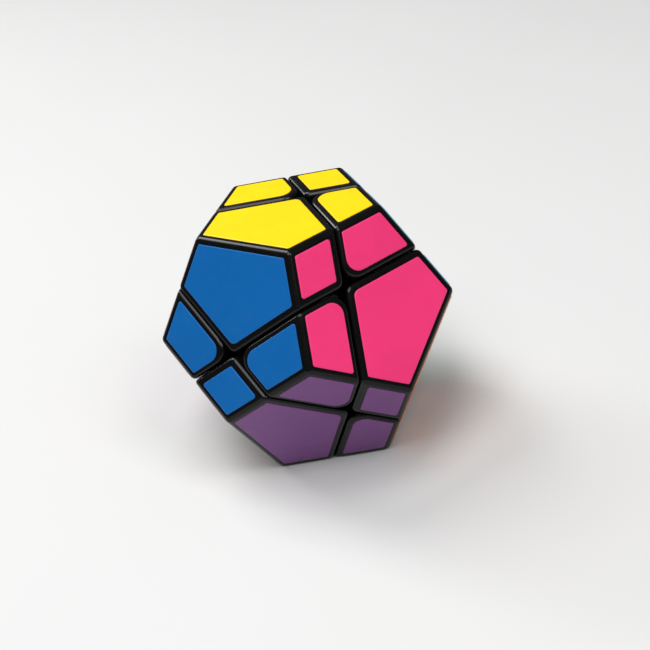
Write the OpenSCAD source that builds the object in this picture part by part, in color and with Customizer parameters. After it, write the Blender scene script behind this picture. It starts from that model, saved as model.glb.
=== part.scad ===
// Twelve-colour dodecahedron puzzle that turns about four axes.
//
// Four planes cut the solid in half, each through the centre. They leave four fixed corners, which are
// screwed to the core on springs, four loose corners opposite them, and six ridge pieces between. Each
// outer piece is a base with a cap pressed on it, and thin coloured tiles on the cap. The bases hold one
// another with two layers: feet under, tongues over. A turn about one axis carries seven pieces, half of
// the puzzle, and the other half stays with the core.
//
// The geometry is written in the frame of the cube that fits inside the dodecahedron: the four axes are
// cube diagonals and the six ridge pieces sit on the cube's faces. stand() then tilts it so that one
// face is level at the bottom and one at the top.

/* [Body] */
// Length of one edge of the dodecahedron
edge_length = 28; // [27:0.5:32]
// Width of the gap along each cut
cut_gap = 0.3; // [0.3:0.05:0.4]
// Wall thickness of the caps
wall = 1.6; // [1.4:0.1:1.8]
// Rounding of a corner piece where four pieces meet on a face
corner_round = 4; // [3:0.25:4.5]
// Rounding of a ridge piece where four pieces meet on a face
ridge_round = 2; // [1.9:0.1:2.5]
// How far the edge between two faces is cut back to a flat
edge_flat = 0.2; // [0.15:0.05:0.35]
// How far the edge between a face and a cut is cut back to a flat
rim_flat = 0.3; // [0.15:0.05:0.35]

/* [Tiles] */
// Thickness of the coloured tiles
tile_t = 0.2; // [0.15:0.05:0.6]
// Black rim between a tile and the face's outer edge
rim_edge = 1.6; // [1:0.1:2]
// Black rim between the large tile and the cut
rim_large = 2; // [1.3:0.05:2.2]
// Black rim between a corner tile and the cut
rim_corner = 1.55; // [1.3:0.05:1.9]
// Black rim between the small tile and the cut
rim_small = 2; // [1.6:0.1:2.6]
// Rounding of most tile corners
tile_round = 0.6; // [0.4:0.1:0.8]
// Rounding of a corner tile where four pieces meet
tile_round_corner = 3; // [2:0.25:3.5]
// Rounding of the large tile where four pieces meet
tile_round_large = 1.9; // [1:0.1:2.2]

/* [Mechanism] */
// Radius of the core ball
ball_r = 10.4; // [10.2:0.1:10.6]
// Outer radius of the layer of feet
foot_r = 15.6; // [15.4:0.1:15.8]
// Outer radius of the layer of tongues
tongue_r = 19.6; // [19.4:0.1:20]
// How far feet and tongues reach past the cut
reach = 1.3; // [1:0.1:1.4]
// Running gap between the layers
layer_gap = 0.3; // [0.3:0.05:0.4]
// Height of the plug that holds a cap on its base
plug_h = 2; // [1.5:0.25:2.5]

/* [Screws] */
// Radius of the screw shank
shank_r = 1.25; // [1.1:0.05:1.3]
// Radius of the screw head
head_r = 2.5; // [2.3:0.1:2.6]
// Height of the screw head
head_h = 1.8; // [1.5:0.1:2]
// Height of the spring when it is set
spring_h = 6.6; // [6:0.2:7]
// Number of spring coils
spring_coils = 5; // [4:1:6]
// Radius of the spring wire
wire_r = 0.3; // [0.25:0.05:0.35]

/* [Hidden] */
AXIS_NAMES = ["a", "b", "c", "d"];
RIDGE_NAMES = ["ad", "bc", "ab", "cd", "ac", "bd"];
$fn = 96;

phi = (1 + sqrt(5)) / 2;
half_cube = edge_length * phi / 2;
face_dist = half_cube * phi * phi / sqrt(1 + phi * phi);
face_circle = edge_length / (2 * sin(36));
tilt = atan(1 / phi);
far = 60;
cap_face = face_dist - tile_t;
fit_gap = 0.1;
ball_top = ball_r + layer_gap;
sunk = 1;
half_gap = cut_gap / 2;

// Fixed corners lie out along these axes, loose corners opposite them.
AXIS = [[1, 1, 1], [1, -1, -1], [-1, 1, -1], [-1, -1, 1]];

// Half the angle between two cuts, where a corner or a ridge piece meets the other three.
corner_half = 90 - acos(-1 / 3) / 2;
ridge_half = acos(-1 / 3) / 2;

// A kind of piece is [cuts, faces, edges, half angle, rounding]. Each cut is [normal, side], and each
// face is its normal. Each edge is the line along which two cuts meet: [its direction, the direction
// from it into the piece].
FIXED = [
    [for (i = [1:3]) [AXIS[i], -1]],
    [[1, 0, phi], [phi, 1, 0], [0, phi, 1]],
    [[[1, 0, 1], [0, 1, 0]], [[1, 1, 0], [0, 0, 1]], [[0, 1, 1], [1, 0, 0]]],
    corner_half,
    corner_round
];
LOOSE = [
    [for (i = [1:3]) [AXIS[i], 1]],
    -FIXED[1],
    -FIXED[2],
    corner_half,
    corner_round
];
RIDGE = [
    [[AXIS[0], 1], [AXIS[3], 1], [AXIS[1], -1], [AXIS[2], -1]],
    [[1, 0, phi], [-1, 0, phi], [0, phi, 1], [0, -phi, 1]],
    [[[1, 0, 1], [-1, 0, 1]], [[-1, 0, 1], [1, 0, 1]], [[0, 1, 1], [0, -1, 1]], [[0, -1, 1], [0, 1, 1]]],
    ridge_half,
    ridge_round
];

// An orientation is [flip, turn]: a third-turn about the first axis repeated turn times, then a
// half-turn about X, Y or Z (flip 1, 2 or 3) or none (flip 0).
FLIP_AXIS = [[0, 0, 1], [1, 0, 0], [0, 1, 0], [0, 0, 1]];
TWO_FLIPS = [[0, 1, 2, 3], [1, 0, 3, 2], [2, 3, 0, 1], [3, 2, 1, 0]];
TURNED_FLIP = [[0, 1, 2, 3], [0, 2, 3, 1], [0, 3, 1, 2]];
RIDGE_ORIENT = [[0, 0], [1, 0], [0, 1], [2, 1], [0, 2], [1, 2]];

// Colour of the face that each orientation carries the first face to, as [flip][turn].
FACE_COLOR = [
    ["#0062b0", "#74407e", "#ee3a78"],
    ["#f2f2ee", "#6e2a24", "#eaa6cc"],
    ["#10904a", "#58bfe6", "#f58220"],
    ["#ffe800", "#a8cf38", "#d0202a"]
];
BLACK = "#121214";

function unit(v) = v / norm(v);

// The orientation that does q and then p.
function both(p, q) = [
    TWO_FLIPS[p[0]][TURNED_FLIP[p[1]][q[0]]],
    (p[1] + q[1]) % 3
];

// --- Outlines of the tiles, on a face whose ridge edge is at the top ---

function face_corner(angle) = face_circle * [sin(angle), cos(angle)];
function edge_middle(a1, a2) = (face_corner(a1) + face_corner(a2)) / 2;
meeting_point = [0, face_circle * cos(108)];

function inward(p, q) = unit([p[1] - q[1], q[0] - p[0]]);

// Corner i of outline p once each edge k has moved inwards by d[k].
function inset_corner(p, d, i) =
    let (
        n = len(p),
        prev = (i + n - 1) % n,
        n1 = inward(p[prev], p[i]),
        n2 = inward(p[i], p[(i + 1) % n]),
        area = n1[0] * n2[1] - n2[0] * n1[1]
    )
    p[i] + [d[prev] * n2[1] - d[i] * n1[1], n1[0] * d[i] - n2[0] * d[prev]] / area;

// Points of an arc of radius r that rounds the corner q between its neighbours p and s.
function corner_arc(p, q, s, r, steps) =
    let (
        to_p = unit(p - q),
        to_s = unit(s - q),
        half = acos(to_p * to_s) / 2,
        centre = q + unit(to_p + to_s) * r / sin(half),
        start = q + to_p * r / tan(half) - centre,
        sweep = 180 - 2 * half
    )
    [for (k = [0:steps])
        let (t = sweep * k / steps)
        centre + [start[0] * cos(t) - start[1] * sin(t), start[0] * sin(t) + start[1] * cos(t)]];

function tile_outline(p, d, r, steps = 5) =
    let (
        n = len(p),
        q = [for (i = [0:n - 1]) inset_corner(p, d, i)]
    )
    [for (i = [0:n - 1])
        each corner_arc(q[(i + n - 1) % n], q[i], q[(i + 1) % n], r[i], steps)];

module large_tile() {
    points = [face_corner(36), face_corner(-36), edge_middle(-36, -108), meeting_point, edge_middle(36, 108)];
    rims = [rim_edge, rim_edge, rim_large, rim_large, rim_edge];
    rounds = [tile_round, tile_round, tile_round, tile_round_large, tile_round];
    polygon(tile_outline(points, rims, rounds));
}

// side is 1 for the tile of the fixed corner and -1 for that of the loose corner.
module corner_tile(side) {
    points = [face_corner(108), edge_middle(36, 108), meeting_point, edge_middle(108, 180)];
    rims = [rim_edge, rim_corner, rim_corner, rim_edge];
    rounds = [tile_round, tile_round, tile_round_corner, tile_round];
    mirror([side < 0 ? 1 : 0, 0])
        polygon(tile_outline(points, rims, rounds));
}

module small_tile() {
    points = [face_corner(180), edge_middle(108, 180), meeting_point, edge_middle(-108, -180)];
    rims = [rim_edge, rim_small, rim_small, rim_edge];
    rounds = [tile_round, tile_round, tile_round, tile_round];
    polygon(tile_outline(points, rims, rounds));
}

// --- Placing ---

module stand() rotate([0, 0, -90]) rotate([0, tilt, 0]) children();

module orient(o) {
    rotate(a = o[0] == 0 ? 0 : 180, v = FLIP_AXIS[o[0]])
        rotate(a = 120 * o[1], v = AXIS[0])
            children();
}

module along(v) {
    rotate([0, acos(unit(v)[2]), atan2(v[1], v[0])]) children();
}

// The first face, [1, 0, phi]: Z out of it, Y towards its ridge edge.
module on_face(o) {
    orient(o)
        rotate([0, tilt, 0]) rotate([0, 0, 90])
            translate([0, 0, cap_face])
                children();
}

module one_tile(o) {
    color(FACE_COLOR[o[0]][o[1]])
        on_face(o)
            linear_extrude(tile_t)
                children();
}

// --- Regions ---

module half_space(n, d) {
    along(n) translate([-far, -far, d]) cube(2 * far);
}

// Where the piece lies between its cuts. shift moves each cut along its normal, and inset moves each
// cut into the piece.
module between_cuts(kind, shift, inset) {
    intersection_for (cut = kind[0])
        half_space(cut[1] * cut[0], cut[1] * shift + inset);
}

module under_faces(kind, distance) {
    intersection_for (n = kind[1])
        half_space(-n, -distance);
}

// What cutting back a piece's outer edges takes away.
module outside_flats(kind) {
    faces = [for (n = kind[1]) unit(n)];
    cuts = [for (cut = kind[0]) -cut[1] * unit(cut[0])];
    for (i = [1:len(faces) - 1], j = [0:i - 1])
        half_space(faces[i] + faces[j], 2 * cap_face / norm(faces[i] + faces[j]) - edge_flat);
    for (f = faces, c = cuts)
        half_space(f + c, (cap_face - half_gap) / norm(f + c) - rim_flat);
}

// Distance from a meeting line to where a rounding of radius r starts, once the cuts move in by inset.
function round_start(half, inset, r) = inset / sin(half) + r * cos(half) * cos(half) / sin(half);

// What rounding the edge e of a piece takes away.
module edge_cut(e, half, inset, r) {
    z = unit(e[0]);
    x = unit(e[1]);
    y = cross(z, x);
    tip = inset / sin(half);
    multmatrix([[x[0], y[0], z[0], 0], [x[1], y[1], z[1], 0], [x[2], y[2], z[2], 0], [0, 0, 0, 1]])
        difference() {
            translate([tip - r, -2 * r, ball_r])
                cube([round_start(half, inset, r) - tip + r, 4 * r, far]);
            translate([tip + r / sin(half), 0, ball_r - 1])
                cylinder(r = r, h = far + 2);
        }
}

// The space between the cuts once they move in by inset, with the edges rounded.
module rounded_region(kind, inset, trim) {
    difference() {
        between_cuts(kind, 0, inset);
        for (e = kind[2]) edge_cut(e, kind[3], inset, kind[4] - trim);
    }
}

module shell_layer(inner, outer) {
    difference() {
        sphere(outer);
        sphere(inner);
    }
}

// --- Pieces in their first place: fixed corner on [1,1,1], loose corner opposite, ridge piece on +Z ---

// The plug fills the bottom of the cap's hollow, but stays clear of the roundings.
module plug(kind) {
    clear = round_start(kind[3], half_gap + wall, kind[4] - wall);
    intersection() {
        shell_layer(tongue_r - sunk, tongue_r + layer_gap + plug_h);
        between_cuts(kind, 0, half_gap + wall + fit_gap);
        intersection_for (e = kind[2]) half_space(e[1], clear);
    }
}

// Neck, feet, tongues and the plug that the cap goes on. A fixed corner has no feet, because it gives way
// on all three sides to its neighbours' feet, and a loose corner has no tongues.
module interlock(kind) {
    intersection() {
        shell_layer(ball_top, tongue_r);
        between_cuts(kind, 0, reach + half_gap);
    }
    if (kind != FIXED) {
        intersection() {
            shell_layer(ball_top, foot_r);
            between_cuts(kind, -reach, half_gap);
        }
    }
    if (kind != LOOSE) {
        intersection() {
            shell_layer(foot_r + layer_gap, tongue_r);
            between_cuts(kind, reach, half_gap);
        }
    }
    plug(kind);
}

// The cap's hollow shell, with room under its roof for the child shape, such as a socket.
module hollow_cap(kind) {
    difference() {
        intersection() {
            rounded_region(kind, half_gap, 0);
            under_faces(kind, cap_face);
        }
        outside_flats(kind);
        sphere(tongue_r + layer_gap);
        difference() {
            intersection() {
                rounded_region(kind, half_gap + wall, wall);
                under_faces(kind, cap_face - wall);
            }
            children();
        }
    }
}

// --- Screw, spring and core ---

seat_depth = 0.4;
seat_at = foot_r - seat_depth;
washer_at = seat_at + spring_h;
washer_h = 0.6;
head_at = washer_at + washer_h;
screw_tip = 4.5;
bore_clearance = 0.2;
thread_clearance = 0.1;
slot_l = 3;
slot_w = 0.6;
slot_depth = 1;
spring_well_r = 3;
tower_r = 4.4;
tower_lip = 0.6;
tower_top = head_at + head_h + tower_lip;
sleeve_wall = 1.2;
spring_r = 2.2;
spring_sides = 6;
spring_steps = 16;
end_clearance = 0.05;

// Round pockets that lighten the core: under the loose corners and under the ridge pieces.
loose_pocket_r = 3.4;
loose_pocket_depth = 3;
ridge_pocket_r = 4;
ridge_pocket_depth = 3.4;

module core() {
    color("#d8d8d2")
        difference() {
            sphere(ball_r);
            for (v = AXIS) {
                along(v) translate([0, 0, screw_tip - 0.5]) cylinder(r = shank_r + thread_clearance, h = far);
                along(-v)
                    translate([0, 0, ball_r - loose_pocket_depth]) cylinder(r = loose_pocket_r, h = far);
            }
            for (v = [[1, 0, 0], [0, 1, 0], [0, 0, 1]], side = [-1, 1])
                along(side * v)
                    translate([0, 0, ball_r - ridge_pocket_depth]) cylinder(r = ridge_pocket_r, h = far);
        }
}

module screw() {
    color("#b9bcc0")
        along(AXIS[0])
            difference() {
                union() {
                    translate([0, 0, screw_tip]) cylinder(r = shank_r, h = head_at - screw_tip + 0.1);
                    translate([0, 0, head_at]) cylinder(r = head_r, h = head_h);
                }
                for (a = [0, 90])
                    rotate([0, 0, a])
                        translate([-slot_l / 2, -slot_w / 2, head_at + head_h - slot_depth])
                            cube([slot_l, slot_w, 2 * slot_depth]);
            }
}

module washer() {
    color("#8f9296")
        along(AXIS[0])
            translate([0, 0, washer_at])
                difference() {
                    cylinder(r = spring_well_r - bore_clearance, h = washer_h);
                    translate([0, 0, -1]) cylinder(r = shank_r + thread_clearance, h = washer_h + 2);
                }
}

module spring() {
    low = seat_at + end_clearance + wire_r;
    rise = spring_h - 2 * (end_clearance + wire_r);
    rings = spring_coils * spring_steps;
    points = [for (i = [0:rings], k = [0:spring_sides - 1])
        let (
            t = 360 * i / spring_steps,
            a = 360 * k / spring_sides,
            r = spring_r + wire_r * cos(a)
        )
        [r * cos(t), r * sin(t), low + rise * i / rings + wire_r * sin(a)]];
    walls = [for (i = [0:rings - 1], k = [0:spring_sides - 1])
        let (
            p = i * spring_sides,
            next = (k + 1) % spring_sides
        )
        [p + k, p + next, p + spring_sides + next, p + spring_sides + k]];
    first = [for (k = [0:spring_sides - 1]) spring_sides - 1 - k];
    last = [for (k = [0:spring_sides - 1]) rings * spring_sides + k];
    color("#c4c6c8")
        along(AXIS[0])
            polyhedron(points, concat(walls, [first], [last]), convexity = 6);
}

// --- Bases and caps ---

module fixed_base() {
    color(BLACK)
        difference() {
            union() {
                interlock(FIXED);
                along(AXIS[0])
                    translate([0, 0, tongue_r - sunk]) cylinder(r = tower_r, h = tower_top - tongue_r + sunk);
            }
            along(AXIS[0]) cylinder(r = shank_r + bore_clearance, h = far);
            along(AXIS[0]) translate([0, 0, seat_at]) cylinder(r = spring_well_r, h = far);
        }
}

module fixed_cap() {
    color(BLACK)
        hollow_cap(FIXED)
            along(AXIS[0])
                translate([0, 0, head_at])
                    difference() {
                        cylinder(r = tower_r + fit_gap + sleeve_wall, h = far);
                        translate([0, 0, -1]) cylinder(r = tower_r + fit_gap, h = far);
                    }
}

peg_r = 1.9;
socket_wall = 1.3;
peg_end_gap = 0.5;
socket_above_plug = 4;
socket_at = tongue_r + plug_h + socket_above_plug;
peg_below_corner = 6;
peg_below_ridge = 4.5;
corner_peg_top = half_cube * sqrt(3) - peg_below_corner;
ridge_peg_top = half_cube * phi - peg_below_ridge;

module peg(v, top) {
    along(v) translate([0, 0, tongue_r - sunk]) cylinder(r = peg_r, h = top - tongue_r + sunk);
}

module socket(v, top) {
    along(v)
        difference() {
            translate([0, 0, socket_at]) cylinder(r = peg_r + fit_gap + socket_wall, h = far);
            cylinder(r = peg_r + fit_gap, h = top + peg_end_gap);
        }
}

module loose_base() {
    color(BLACK) {
        interlock(LOOSE);
        peg(-AXIS[0], corner_peg_top);
    }
}

module loose_cap() {
    color(BLACK) hollow_cap(LOOSE) socket(-AXIS[0], corner_peg_top);
}

module ridge_base() {
    color(BLACK) {
        interlock(RIDGE);
        peg([0, 0, 1], ridge_peg_top);
    }
}

module ridge_cap() {
    color(BLACK) hollow_cap(RIDGE) socket([0, 0, 1], ridge_peg_top);
}

// --- Tiles, by piece ---

module fixed_tiles(o) {
    for (k = [0:2])
        one_tile(both(o, [0, k])) corner_tile(1);
}

module loose_tiles(o) {
    for (k = [0:2])
        one_tile(both(o, both([0, k], [2, 0]))) corner_tile(-1);
}

module ridge_tiles(o) {
    for (flip = [0, 3]) {
        one_tile(both(o, [flip, 0])) large_tile();
        one_tile(both(o, [flip, 2])) small_tile();
    }
}

// --- Nodes ---

stand() core();

for (i = [0:3]) {
    stand() orient([i, 0]) screw();
    stand() orient([i, 0]) washer();
    stand() orient([i, 0]) spring();
    stand() orient([i, 0]) fixed_base();
    stand() orient([i, 0]) fixed_cap();
    stand() fixed_tiles([i, 0]);
    stand() orient([i, 0]) loose_base();
    stand() orient([i, 0]) loose_cap();
    stand() loose_tiles([i, 0]);
}

for (i = [0:5]) {
    stand() orient(RIDGE_ORIENT[i]) ridge_base();
    stand() orient(RIDGE_ORIENT[i]) ridge_cap();
    stand() ridge_tiles(RIDGE_ORIENT[i]);
}
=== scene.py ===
"""Twelve-colour dodecahedron puzzle that turns about four axes: glossy black caps and thin coloured tiles.

The shapes are written in the frame of the cube that fits inside the dodecahedron, where the four axes are
cube diagonals and the six ridge pieces sit on the cube's faces. STAND tilts that frame onto one face.
"""

import math

import bmesh
import bpy
from mathutils import Matrix, Vector


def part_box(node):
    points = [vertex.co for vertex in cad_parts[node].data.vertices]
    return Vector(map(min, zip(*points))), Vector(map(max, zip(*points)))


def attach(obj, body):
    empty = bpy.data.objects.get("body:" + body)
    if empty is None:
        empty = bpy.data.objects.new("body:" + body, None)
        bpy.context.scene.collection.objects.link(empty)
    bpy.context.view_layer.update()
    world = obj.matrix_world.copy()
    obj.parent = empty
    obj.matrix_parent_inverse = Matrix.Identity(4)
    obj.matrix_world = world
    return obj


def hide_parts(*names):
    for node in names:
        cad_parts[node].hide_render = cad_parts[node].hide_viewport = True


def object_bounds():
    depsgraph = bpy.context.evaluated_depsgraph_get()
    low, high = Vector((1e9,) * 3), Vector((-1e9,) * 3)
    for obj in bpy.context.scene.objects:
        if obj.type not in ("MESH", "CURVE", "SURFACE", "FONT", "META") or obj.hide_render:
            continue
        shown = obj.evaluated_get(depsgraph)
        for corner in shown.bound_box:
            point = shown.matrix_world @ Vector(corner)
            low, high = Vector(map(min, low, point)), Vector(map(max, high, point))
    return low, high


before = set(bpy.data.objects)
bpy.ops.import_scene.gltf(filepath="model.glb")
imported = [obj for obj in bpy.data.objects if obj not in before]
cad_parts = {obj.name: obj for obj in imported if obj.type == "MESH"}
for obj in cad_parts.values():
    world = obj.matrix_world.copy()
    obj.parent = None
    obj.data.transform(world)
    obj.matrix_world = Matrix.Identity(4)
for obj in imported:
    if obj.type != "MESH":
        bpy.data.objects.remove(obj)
cad_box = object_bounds()

# --- Driving sizes, in metres, from the frame ---

MM = 0.001
PHI = (1 + math.sqrt(5)) / 2
FACE_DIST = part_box("ridge_tiles_ad")[1].z
CAP_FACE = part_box("ridge_cap_ad")[1].z
FLOOR_Z = cad_box[0].z
HALF_CUBE = FACE_DIST * math.sqrt(1 + PHI**2) / PHI**2
EDGE = 2 * HALF_CUBE / PHI
FACE_CIRCLE = EDGE / (2 * math.sin(math.radians(36)))
TILT = math.atan(1 / PHI)

# --- Sizes of the caps and tiles ---

# Half of the gap along each cut, and the thickness of a cap's walls
HALF_GAP = 0.15 * MM
WALL = 1.6 * MM
# Rounding where two cuts meet on a corner piece or a ridge piece, and the width of the rolled rims
CORNER_ROUND = 4.0 * MM
RIDGE_ROUND = 2.0 * MM
RIM_ROUND = 0.95 * MM
# Radius of the ball-shaped space under the caps
UNDERSIDE_R = 19.9 * MM
# Black rims around the tiles: along the face's outer edge, and along the cuts
RIM_EDGE = 1.6 * MM
RIM_LARGE = 2.0 * MM
RIM_CORNER = 1.55 * MM
RIM_SMALL = 2.0 * MM
# Roundings of the tiles' corners: most of them, and those where four pieces meet
TILE_ROUND = 0.6 * MM
TILE_ROUND_CORNER = 3.0 * MM
TILE_ROUND_LARGE = 1.9 * MM
# Width and height of a tile's rolled upper edge
TILE_EDGE_INSET = 0.35 * MM
TILE_EDGE_DROP = 0.15 * MM
# Inner and outer radius of the socket under each kind of cap, and how far from the centre it begins
SOCKETS = {
    "fixed": (4.5 * MM, 5.7 * MM, 22.4 * MM),
    "loose": (2.0 * MM, 3.3 * MM, 25.6 * MM),
    "ridge": (2.0 * MM, 3.3 * MM, 25.6 * MM),
}
PAST_THE_FACE = 60 * MM

# --- Names, places and colours ---

AXIS_NAMES = ["a", "b", "c", "d"]
RIDGE_ORIENT = {"ad": (0, 0), "bc": (1, 0), "ab": (0, 1), "cd": (2, 1), "ac": (0, 2), "bd": (1, 2)}
AXIS = [Vector(v) for v in ((1, 1, 1), (1, -1, -1), (-1, 1, -1), (-1, -1, 1))]
FACE_SLOT = [
    ["blue", "purple", "hot_pink"],
    ["white", "maroon", "lilac"],
    ["green", "sky_blue", "orange"],
    ["yellow", "lime", "red"],
]
TILE_COLOR = {
    "blue": (0.0, 0.104, 0.350),
    "purple": (0.190, 0.060, 0.232),
    "hot_pink": (0.800, 0.036, 0.170),
    "white": (0.800, 0.800, 0.770),
    "maroon": (0.120, 0.018, 0.014),
    "lilac": (0.700, 0.300, 0.500),
    "green": (0.006, 0.240, 0.060),
    "sky_blue": (0.080, 0.440, 0.720),
    "orange": (0.850, 0.190, 0.012),
    "yellow": (0.780, 0.530, 0.000),
    "lime": (0.330, 0.560, 0.035),
    "red": (0.560, 0.012, 0.020),
}

STAND = Matrix.Rotation(math.radians(-90), 4, "Z") @ Matrix.Rotation(TILT, 4, "Y")


def turn(flip, thirds):
    """A third-turn about the first axis, repeated, then a half-turn about X, Y or Z (flip 1, 2 or 3)."""
    third = Matrix.Rotation(math.radians(120 * thirds), 4, AXIS[0])
    half = Matrix.Rotation(math.pi, 4, "XYZ"[flip - 1]) if flip else Matrix.Identity(4)
    return half @ third


def face_slot_of(matrix):
    """The colour name of the face that a turn carries the first face to."""
    first = Vector((1, 0, PHI)).normalized()
    normal = matrix.to_3x3() @ first
    for flip in range(4):
        for thirds in range(3):
            if (turn(flip, thirds).to_3x3() @ first - normal).length < 1e-4:
                return FACE_SLOT[flip][thirds]


# --- Outlines of the tiles, on a face whose ridge edge is at the top ---


def face_corner(angle):
    a = math.radians(angle)
    return Vector((math.sin(a), math.cos(a))) * FACE_CIRCLE


def edge_middle(a1, a2):
    return (face_corner(a1) + face_corner(a2)) / 2


def meeting_point():
    return Vector((0, math.cos(math.radians(108)) * FACE_CIRCLE))


def inset_corners(points, rims):
    """The outline's corners once each edge has moved inwards by its rim."""
    result = []
    for i, p in enumerate(points):
        before, after = points[i - 1], points[(i + 1) % len(points)]
        n1 = Vector((before.y - p.y, p.x - before.x)).normalized()
        n2 = Vector((p.y - after.y, after.x - p.x)).normalized()
        d1, d2 = rims[i - 1], rims[i]
        area = n1.x * n2.y - n2.x * n1.y
        result.append(p + Vector((d1 * n2.y - d2 * n1.y, n1.x * d2 - n2.x * d1)) / area)
    return result


def rounded_outline(points, rims, rounds, steps):
    """An outline with an arc of its own radius at each corner."""
    corners = inset_corners(points, rims)
    outline = []
    for i, q in enumerate(corners):
        to_before = (corners[i - 1] - q).normalized()
        to_after = (corners[(i + 1) % len(corners)] - q).normalized()
        half = to_before.angle(to_after) / 2
        r = rounds[i]
        centre = q + (to_before + to_after).normalized() * (r / math.sin(half))
        start = q + to_before * (r / math.tan(half)) - centre
        for k in range(steps + 1):
            t = (math.pi - 2 * half) * k / steps
            outline.append(centre + Matrix.Rotation(t, 2) @ start)
    return outline


def tile_plan(kind):
    """Corners, rims and roundings of a tile: large, small, fixed corner's or loose corner's."""
    if kind == "large":
        points = [face_corner(36), face_corner(-36), edge_middle(-36, -108), meeting_point()]
        points.append(edge_middle(36, 108))
        rims = [RIM_EDGE, RIM_EDGE, RIM_LARGE, RIM_LARGE, RIM_EDGE]
        rounds = [TILE_ROUND, TILE_ROUND, TILE_ROUND, TILE_ROUND_LARGE, TILE_ROUND]
    elif kind == "small":
        points = [face_corner(180), edge_middle(108, 180), meeting_point(), edge_middle(-108, -180)]
        rims = [RIM_EDGE, RIM_SMALL, RIM_SMALL, RIM_EDGE]
        rounds = [TILE_ROUND] * 4
    else:
        points = [face_corner(108), edge_middle(36, 108), meeting_point(), edge_middle(108, 180)]
        rims = [RIM_EDGE, RIM_CORNER, RIM_CORNER, RIM_EDGE]
        rounds = [TILE_ROUND, TILE_ROUND, TILE_ROUND_CORNER, TILE_ROUND]
        if kind == "loose":
            points = [Vector((-p.x, p.y)) for p in reversed(points)]
            rims = rims[-2::-1] + rims[-1:]
            rounds = rounds[::-1]
    return points, rims, rounds


FIRST_FACE = Matrix.Rotation(TILT, 4, "Y") @ Matrix.Rotation(math.radians(90), 4, "Z")


def tile_mesh(kind, arc_steps=10, edge_steps=4):
    """A thin tile on the first face, with its upper edge rolled over."""
    points, rims, rounds = tile_plan(kind)
    levels = [(0.0, CAP_FACE)]
    for k in range(edge_steps + 1):
        t = math.pi / 2 * k / edge_steps
        inset = TILE_EDGE_INSET * (1 - math.cos(t))
        levels.append((inset, FACE_DIST - TILE_EDGE_DROP * (1 - math.sin(t))))
    bm = bmesh.new()
    rings = []
    for inset, z in levels:
        outline = rounded_outline(
            points, [d + inset for d in rims], [max(r - inset, 0.05 * MM) for r in rounds], arc_steps
        )
        rings.append([bm.verts.new(FIRST_FACE @ Vector((p.x, p.y, z))) for p in outline])
    count = len(rings[0])
    for low, high in zip(rings, rings[1:]):
        for i in range(count):
            j = (i + 1) % count
            bm.faces.new((low[i], low[j], high[j], high[i]))
    bm.faces.new(rings[-1])
    bm.faces.new(list(reversed(rings[0])))
    bmesh.ops.recalc_face_normals(bm, faces=bm.faces[:])
    return finished_mesh(bm, "tile_" + kind)


# --- Caps ---


class Piece:
    """One kind of outer piece in its first place: its cuts, faces and the edges where two cuts meet."""

    def __init__(self, cuts, faces, edge_lines, half_angle, rounding, peg):
        self.cuts = [Vector(n).normalized() * side for n, side in cuts]
        self.faces = [Vector(n).normalized() for n in faces]
        self.edge_lines = [(Vector(m).normalized(), Vector(w).normalized()) for m, w in edge_lines]
        self.half_angle = half_angle
        self.rounding = rounding
        self.peg = Vector(peg).normalized()

    def planes(self, cut_inset, face_dist):
        """(normal, distance) of each bounding plane, with the piece on the side where n.x < distance."""
        return [(-n, -cut_inset) for n in self.cuts] + [(n, face_dist) for n in self.faces]

    def round_start(self, inset, r):
        """How far from a meeting line a rounding of radius r starts, once the cuts move in by inset."""
        half = self.half_angle
        return inset / math.sin(half) + r * math.cos(half) ** 2 / math.sin(half)


CORNER_HALF = math.pi / 2 - math.acos(-1 / 3) / 2
RIDGE_HALF = math.acos(-1 / 3) / 2
CORNER_FACES = [(1, 0, PHI), (PHI, 1, 0), (0, PHI, 1)]
CORNER_LINES = [((1, 0, 1), (0, 1, 0)), ((1, 1, 0), (0, 0, 1)), ((0, 1, 1), (1, 0, 0))]


def negated(v):
    return tuple(-k for k in v)


PIECES = {
    "fixed": Piece(
        [(AXIS[i], -1) for i in (1, 2, 3)],
        CORNER_FACES,
        CORNER_LINES,
        CORNER_HALF,
        CORNER_ROUND,
        AXIS[0],
    ),
    "loose": Piece(
        [(AXIS[i], 1) for i in (1, 2, 3)],
        [negated(n) for n in CORNER_FACES],
        [(negated(m), negated(w)) for m, w in CORNER_LINES],
        CORNER_HALF,
        CORNER_ROUND,
        -AXIS[0],
    ),
    "ridge": Piece(
        [(AXIS[0], 1), (AXIS[3], 1), (AXIS[1], -1), (AXIS[2], -1)],
        [(1, 0, PHI), (-1, 0, PHI), (0, PHI, 1), (0, -PHI, 1)],
        [((1, 0, 1), (-1, 0, 1)), ((-1, 0, 1), (1, 0, 1)), ((0, 1, 1), (0, -1, 1)), ((0, -1, 1), (0, 1, 1))],
        RIDGE_HALF,
        RIDGE_ROUND,
        (0, 0, 1),
    ),
}


def convex_block(planes, size=0.2):
    """The closed convex solid inside all the planes, with one face per plane."""
    bm = bmesh.new()
    bmesh.ops.create_cube(bm, size=size)
    for normal, distance in planes:
        geom = bm.verts[:] + bm.edges[:] + bm.faces[:]
        cut = bmesh.ops.bisect_plane(
            bm, geom=geom, dist=1e-7, plane_co=normal * distance, plane_no=normal, clear_outer=True
        )
        open_edges = [e for e in cut["geom_cut"] if isinstance(e, bmesh.types.BMEdge)]
        bmesh.ops.contextual_create(bm, geom=open_edges)
    bmesh.ops.remove_doubles(bm, verts=bm.verts[:], dist=1e-7)
    bmesh.ops.recalc_face_normals(bm, faces=bm.faces[:])
    bm.normal_update()
    return bm


def is_one_of(normal, normals):
    return any(normal.dot(n) > 0.9999 for n in normals)


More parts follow.
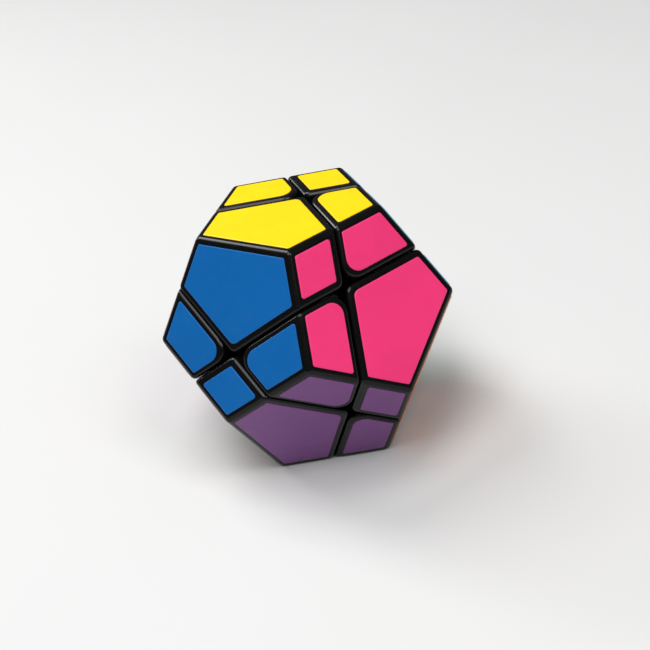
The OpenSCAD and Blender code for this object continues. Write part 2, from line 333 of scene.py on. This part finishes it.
def round_edges(bm, edges, offset, segments):
    bmesh.ops.bevel(
        bm,
        geom=edges,
        offset=offset,
        offset_type="OFFSET",
        segments=segments,
        profile=0.5,
        affect="EDGES",
        clamp_overlap=True,
    )
    bmesh.ops.remove_doubles(bm, verts=bm.verts[:], dist=1e-7)
    bm.normal_update()


def outer_block(piece):
    """The outside of a cap: edges between two cuts well rounded, and every rim rolled over."""
    bm = convex_block(piece.planes(HALF_GAP, CAP_FACE))
    inward = [-n for n in piece.cuts]
    between_cuts = [
        e for e in bm.edges if all(is_one_of(f.normal, inward) for f in e.link_faces)
    ]
    round_edges(bm, between_cuts, piece.rounding / math.tan(piece.half_angle), 14)
    rims = [e for e in bm.edges if any(is_one_of(f.normal, piece.faces) for f in e.link_faces)]
    round_edges(bm, rims, RIM_ROUND, 5)
    return bm


def lathe(axis, profile, steps=64):
    """A closed ring or disc turned about an axis through the centre, from (radius, height) points."""
    bm = bmesh.new()
    to_axis = axis.to_track_quat("Z", "Y").to_matrix()
    rings = []
    for radius, height in profile:
        ring = []
        for k in range(steps):
            t = 2 * math.pi * k / steps
            ring.append(bm.verts.new(to_axis @ Vector((radius * math.cos(t), radius * math.sin(t), height))))
        rings.append(ring)
    for low, high in zip(rings, rings[1:] + rings[:1]):
        for i in range(steps):
            j = (i + 1) % steps
            bm.faces.new((low[i], low[j], high[j], high[i]))
    bmesh.ops.recalc_face_normals(bm, faces=bm.faces[:])
    return bm


def mesh_of(bm, name):
    mesh = bpy.data.meshes.new(name)
    bm.to_mesh(mesh)
    bm.free()
    return mesh


def without(mesh, tool, name):
    """The mesh with the tool mesh taken away from it."""
    base = bpy.data.objects.new(name, mesh)
    cutter = bpy.data.objects.new(name + "_tool", tool)
    for obj in (base, cutter):
        bpy.context.scene.collection.objects.link(obj)
    modifier = base.modifiers.new("cut", "BOOLEAN")
    modifier.operation = "DIFFERENCE"
    modifier.solver = "EXACT"
    modifier.object = cutter
    bpy.context.view_layer.update()
    evaluated = base.evaluated_get(bpy.context.evaluated_depsgraph_get())
    result = bpy.data.meshes.new_from_object(evaluated)
    for obj in (base, cutter):
        bpy.data.objects.remove(obj)
    return result


def ball(radius):
    bm = bmesh.new()
    bmesh.ops.create_icosphere(bm, subdivisions=5, radius=radius)
    return mesh_of(bm, "underside")


def hollow(kind):
    """The space inside a cap, less the socket that holds the cap on its base."""
    piece = PIECES[kind]
    planes = piece.planes(HALF_GAP + WALL, CAP_FACE - WALL)
    clear = piece.round_start(HALF_GAP + WALL, piece.rounding - WALL)
    planes += [(-w, -clear) for _, w in piece.edge_lines]
    space = mesh_of(convex_block(planes), kind + "_space")
    inner, outer, low = SOCKETS[kind]
    ring = lathe(piece.peg, [(inner, low), (outer, low), (outer, PAST_THE_FACE), (inner, PAST_THE_FACE)])
    return without(space, mesh_of(ring, kind + "_socket"), kind + "_hollow")


def finished_mesh(bm, name, sharp_angle=32):
    """Smooth shading everywhere but across sharp edges."""
    limit = math.radians(sharp_angle)
    for f in bm.faces:
        f.smooth = True
    for e in bm.edges:
        e.smooth = e.calc_face_angle(0.0) < limit
    return mesh_of(bm, name)


def cap_mesh(kind):
    solid = mesh_of(outer_block(PIECES[kind]), kind + "_block")
    open_below = without(solid, ball(UNDERSIDE_R), kind + "_open")
    shell = without(open_below, hollow(kind), kind + "_shell")
    bm = bmesh.new()
    bm.from_mesh(shell)
    bmesh.ops.remove_doubles(bm, verts=bm.verts[:], dist=1e-6)
    bmesh.ops.dissolve_degenerate(bm, edges=bm.edges[:], dist=1e-6)
    bmesh.ops.recalc_face_normals(bm, faces=bm.faces[:])
    return finished_mesh(bm, kind + "_cap")


# --- Materials ---


class Nodes:
    """A material's node tree, with short calls to add and link nodes."""

    def __init__(self, name):
        self.material = bpy.data.materials.new(name)
        self.material.use_nodes = True
        self.tree = self.material.node_tree
        self.shader = self.tree.nodes["Principled BSDF"]
        self.place = self.add("ShaderNodeTexCoord").outputs["Object"]

    def add(self, kind, **settings):
        node = self.tree.nodes.new(kind)
        for key, value in settings.items():
            setattr(node, key, value)
        return node

    def link(self, output, target):
        self.tree.links.new(output, target)

    def set(self, **values):
        for key, value in values.items():
            self.shader.inputs[key.replace("_", " ")].default_value = value

    def noise(self, per_mm, detail=3, rough=0.55, stretch=(1, 1, 1)):
        mapping = self.add("ShaderNodeMapping")
        mapping.inputs["Scale"].default_value = stretch
        self.link(self.place, mapping.inputs["Vector"])
        node = self.add("ShaderNodeTexNoise")
        node.inputs["Scale"].default_value = per_mm / MM
        node.inputs["Detail"].default_value = detail
        node.inputs["Roughness"].default_value = rough
        self.link(mapping.outputs["Vector"], node.inputs["Vector"])
        return node.outputs["Fac"]

    def ramp(self, value, low, high, from_low=0.3, from_high=0.7):
        node = self.add("ShaderNodeMapRange")
        node.inputs["From Min"].default_value = from_low
        node.inputs["From Max"].default_value = from_high
        node.inputs["To Min"].default_value = low
        node.inputs["To Max"].default_value = high
        self.link(value, node.inputs["Value"])
        return node.outputs["Result"]

    def mix(self, fac, a, b):
        node = self.add("ShaderNodeMix", data_type="RGBA")
        self.link(fac, node.inputs["Factor"])
        node.inputs["A"].default_value = (*a, 1)
        node.inputs["B"].default_value = (*b, 1)
        return node.outputs["Result"]

    def bump(self, height, distance_mm, strength=1.0, under=None):
        node = self.add("ShaderNodeBump")
        node.inputs["Strength"].default_value = strength
        node.inputs["Distance"].default_value = distance_mm * MM
        self.link(height, node.inputs["Height"])
        if under is not None:
            self.link(under, node.inputs["Normal"])
        return node.outputs["Normal"]


def scaled(color, k):
    return tuple(min(c * k, 1.0) for c in color)


def cap_plastic():
    """Glossy black moulded plastic with soft flow marks, fine polish lines and a little dust."""
    n = Nodes("cap_plastic")
    n.set(Specular_IOR_Level=0.22, IOR=1.5)
    tone = n.ramp(n.noise(0.08, 2), 0.0, 1.0)
    n.link(n.mix(tone, (0.0018, 0.0018, 0.0021), (0.0030, 0.0030, 0.0034)), n.shader.inputs["Base Color"])
    n.link(n.ramp(n.noise(0.25, 4), 0.17, 0.25), n.shader.inputs["Roughness"])
    waves = n.bump(n.noise(0.12, 2), 0.03, 0.35)
    lines = n.bump(n.noise(1.2, 2, 0.5, (1, 5, 1)), 0.001, 0.35, under=waves)
    n.link(lines, n.shader.inputs["Normal"])
    return n.material


def base_plastic():
    """Satin black plastic, polished in streaks where the layers slide on each other."""
    n = Nodes("base_plastic")
    n.set(Specular_IOR_Level=0.45, IOR=1.5)
    tone = n.mix(n.noise(0.3, 3), (0.006, 0.006, 0.007), (0.016, 0.016, 0.017))
    n.link(tone, n.shader.inputs["Base Color"])
    n.link(n.ramp(n.noise(0.5, 4, 0.6, (1, 1, 5)), 0.30, 0.55), n.shader.inputs["Roughness"])
    n.link(n.bump(n.noise(2.2, 3), 0.01, 0.4), n.shader.inputs["Normal"])
    return n.material


def core_plastic():
    """Off-white moulded plastic."""
    n = Nodes("core_plastic")
    n.set(Specular_IOR_Level=0.4, IOR=1.5, Subsurface_Weight=0.05)
    n.link(n.mix(n.noise(0.2, 3), (0.62, 0.61, 0.55), (0.72, 0.71, 0.66)), n.shader.inputs["Base Color"])
    n.link(n.ramp(n.noise(0.6, 3), 0.35, 0.55), n.shader.inputs["Roughness"])
    n.link(n.bump(n.noise(2.0, 3), 0.01, 0.4), n.shader.inputs["Normal"])
    return n.material


def steel(name, dark, light, rough_low, rough_high):
    """Small steel parts, with turning marks and a faint tarnish."""
    n = Nodes(name)
    n.set(Metallic=1.0)
    n.link(n.mix(n.noise(0.6, 4), dark, light), n.shader.inputs["Base Color"])
    n.link(n.ramp(n.noise(1.5, 4), rough_low, rough_high), n.shader.inputs["Roughness"])
    n.link(n.bump(n.noise(4.0, 3), 0.006, 0.4), n.shader.inputs["Normal"])
    return n.material


def tile_plastic(name, color):
    """Thin coloured tile: even colour with a faint cloud, a soft gloss and a slight orange-peel surface."""
    n = Nodes("tile_" + name)
    n.set(Specular_IOR_Level=0.28, IOR=1.49, Coat_Weight=0.05, Coat_Roughness=0.16)
    cloud = n.ramp(n.noise(0.05, 3), 0.0, 1.0)
    n.link(n.mix(cloud, scaled(color, 0.955), scaled(color, 1.03)), n.shader.inputs["Base Color"])
    n.link(n.ramp(n.noise(0.35, 4), 0.34, 0.46), n.shader.inputs["Roughness"])
    peel = n.bump(n.noise(0.9, 2), 0.006, 0.5)
    n.link(n.bump(n.noise(6.0, 2), 0.0012, 0.5, under=peel), n.shader.inputs["Normal"])
    return n.material


def floor_paint():
    n = Nodes("floor_paint")
    n.set(Roughness=0.75, Specular_IOR_Level=0.25)
    n.link(n.mix(n.noise(0.004, 3), (0.54, 0.54, 0.535), (0.58, 0.58, 0.575)), n.shader.inputs["Base Color"])
    return n.material


# --- Camera, light and floor ---

CAMERA_AZIMUTH = 40.82
CAMERA_ELEVATION = 29.45
CAMERA_ROLL = 11.92
CAMERA_DISTANCE = 11.511 * FACE_DIST
AIM_RIGHT = 0.0980 * FACE_DIST
AIM_UP = -0.0938 * FACE_DIST
LENS_MM = 78.12


def direction(azimuth, elevation):
    a, e = math.radians(azimuth), math.radians(elevation)
    return Vector((math.sin(a) * math.cos(e), -math.cos(a) * math.cos(e), math.sin(e)))


def make_camera():
    """The camera looks past the puzzle's centre by a small offset, and leans over to its right."""
    place = direction(CAMERA_AZIMUTH, CAMERA_ELEVATION) * CAMERA_DISTANCE
    ahead = -place.normalized()
    right = ahead.cross(Vector((0, 0, 1))).normalized()
    up = right.cross(ahead)
    look = (right * AIM_RIGHT + up * AIM_UP - place).normalized()
    level_right = look.cross(Vector((0, 0, 1))).normalized()
    level_up = level_right.cross(look)
    lean = math.radians(CAMERA_ROLL)
    cam_up = level_up * math.cos(lean) + level_right * math.sin(lean)
    cam_right = look.cross(cam_up)
    data = bpy.data.cameras.new("camera")
    data.lens = LENS_MM
    data.sensor_width = 36
    data.clip_start, data.clip_end = 0.01, 20
    camera = bpy.data.objects.new("camera", data)
    axes = Matrix((cam_right, cam_up, -look)).transposed().to_4x4()
    camera.matrix_world = Matrix.Translation(place) @ axes
    bpy.context.scene.collection.objects.link(camera)
    bpy.context.scene.camera = camera


def make_softbox(name, azimuth, elevation, distance, size, watts):
    """A flat lamp, in metres and watts, that faces the puzzle from a direction."""
    data = bpy.data.lights.new(name, "AREA")
    data.shape = "RECTANGLE"
    data.size, data.size_y = size
    data.energy = watts
    light = bpy.data.objects.new(name, data)
    light.location = direction(azimuth, elevation) * distance
    light.rotation_mode = "QUATERNION"
    light.rotation_quaternion = direction(azimuth, elevation).to_track_quat("Z", "Y")
    bpy.context.scene.collection.objects.link(light)


def make_world(strength):
    world = bpy.data.worlds.new("studio")
    world.use_nodes = True
    background = world.node_tree.nodes["Background"]
    background.inputs["Color"].default_value = (0.95, 0.97, 1.0, 1)
    background.inputs["Strength"].default_value = strength
    bpy.context.scene.world = world


def make_floor(radius=4.0, sides=96):
    """A wide flat floor for the puzzle to rest on."""
    bm = bmesh.new()
    centre = bm.verts.new((0, 0, FLOOR_Z))
    ring = []
    for k in range(sides):
        t = 2 * math.pi * k / sides
        ring.append(bm.verts.new((radius * math.cos(t), radius * math.sin(t), FLOOR_Z)))
    for i in range(sides):
        bm.faces.new((centre, ring[i], ring[(i + 1) % sides]))
    floor = bpy.data.objects.new("floor", mesh_of(bm, "floor"))
    floor.data.materials.append(floor_paint())
    bpy.context.scene.collection.objects.link(floor)


# --- Pieces ---


def place_piece(name, mesh, matrix, material, body, node):
    """A copy of a mesh, turned into its place, that rides on a body and stands for a CAD node."""
    copy = mesh.copy()
    copy.name = name
    copy.transform(STAND @ matrix)
    copy.materials.clear()
    copy.materials.append(material)
    piece = bpy.data.objects.new(name, copy)
    bpy.context.scene.collection.objects.link(piece)
    weighted = piece.modifiers.new("even_shading", "WEIGHTED_NORMAL")
    weighted.keep_sharp = True
    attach(piece, body)
    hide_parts(node)


def tile_places(kind):
    """(tile kind, turn) of each tile on a piece in its first place."""
    if kind == "fixed":
        return [("fixed", turn(0, k)) for k in range(3)]
    if kind == "loose":
        return [("loose", turn(0, k) @ turn(2, 0)) for k in range(3)]
    large = [("large", turn(flip, 0)) for flip in (0, 3)]
    return large + [("small", turn(flip, 2)) for flip in (0, 3)]


def outer_pieces():
    """(kind, name, turn) of all fourteen outer pieces."""
    pieces = []
    for kind in ("fixed", "loose"):
        pieces += [(kind, letter, turn(flip, 0)) for flip, letter in enumerate(AXIS_NAMES)]
    return pieces + [("ridge", letters, turn(*orient)) for letters, orient in RIDGE_ORIENT.items()]


def build_caps(material):
    meshes = {kind: cap_mesh(kind) for kind in PIECES}
    for kind, letter, matrix in outer_pieces():
        node = f"{kind}_cap_{letter}"
        body = f"{kind}_{letter}"
        place_piece(f"cap_{kind}_{letter}", meshes[kind], matrix, material, body, node)


def build_tiles():
    meshes = {kind: tile_mesh(kind) for kind in ("large", "small", "fixed", "loose")}
    materials = {color: tile_plastic(color, TILE_COLOR[color]) for color in TILE_COLOR}
    for kind, letter, matrix in outer_pieces():
        for tile, tile_turn in tile_places(kind):
            place = matrix @ tile_turn
            color = face_slot_of(place)
            name = f"tile_{color}_{tile}_{kind}_{letter}"
            body, node = f"{kind}_{letter}", f"{kind}_tiles_{letter}"
            place_piece(name, meshes[tile], place, materials[color], body, node)


def finish_cad_nodes():
    """Better materials for the CAD nodes that stay visible: core, screws, washers, springs and bases."""
    materials = {
        "core": core_plastic(),
        "screw": steel("screw_steel", (0.42, 0.43, 0.45), (0.58, 0.58, 0.59), 0.22, 0.40),
        "washer": steel("washer_steel", (0.25, 0.26, 0.27), (0.40, 0.40, 0.41), 0.28, 0.48),
        "spring": steel("spring_steel", (0.50, 0.50, 0.51), (0.66, 0.66, 0.66), 0.16, 0.30),
        "base": base_plastic(),
    }
    for name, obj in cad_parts.items():
        words = name.split("_")
        kind = "base" if "base" in words else words[0]
        if kind in materials:
            obj.data.materials.clear()
            obj.data.materials.append(materials[kind])


make_camera()
make_world(0.12)
make_softbox("back_left_softbox", -100, 54, 0.9, (0.40, 0.40), 4.4)
make_softbox("overhead_softbox", 0, 84, 0.9, (0.42, 0.42), 3.4)
make_softbox("left_window", -95, 22, 1.0, (0.22, 0.32), 2.9)
make_softbox("front_key", 18, 60, 1.1, (0.6, 0.4), 5.0)
make_softbox("right_key", 78, 50, 1.1, (0.4, 0.4), 4.6)
make_floor()
finish_cad_nodes()
build_caps(cap_plastic())
build_tiles()

scene = bpy.context.scene
scene.view_settings.view_transform = "Standard"
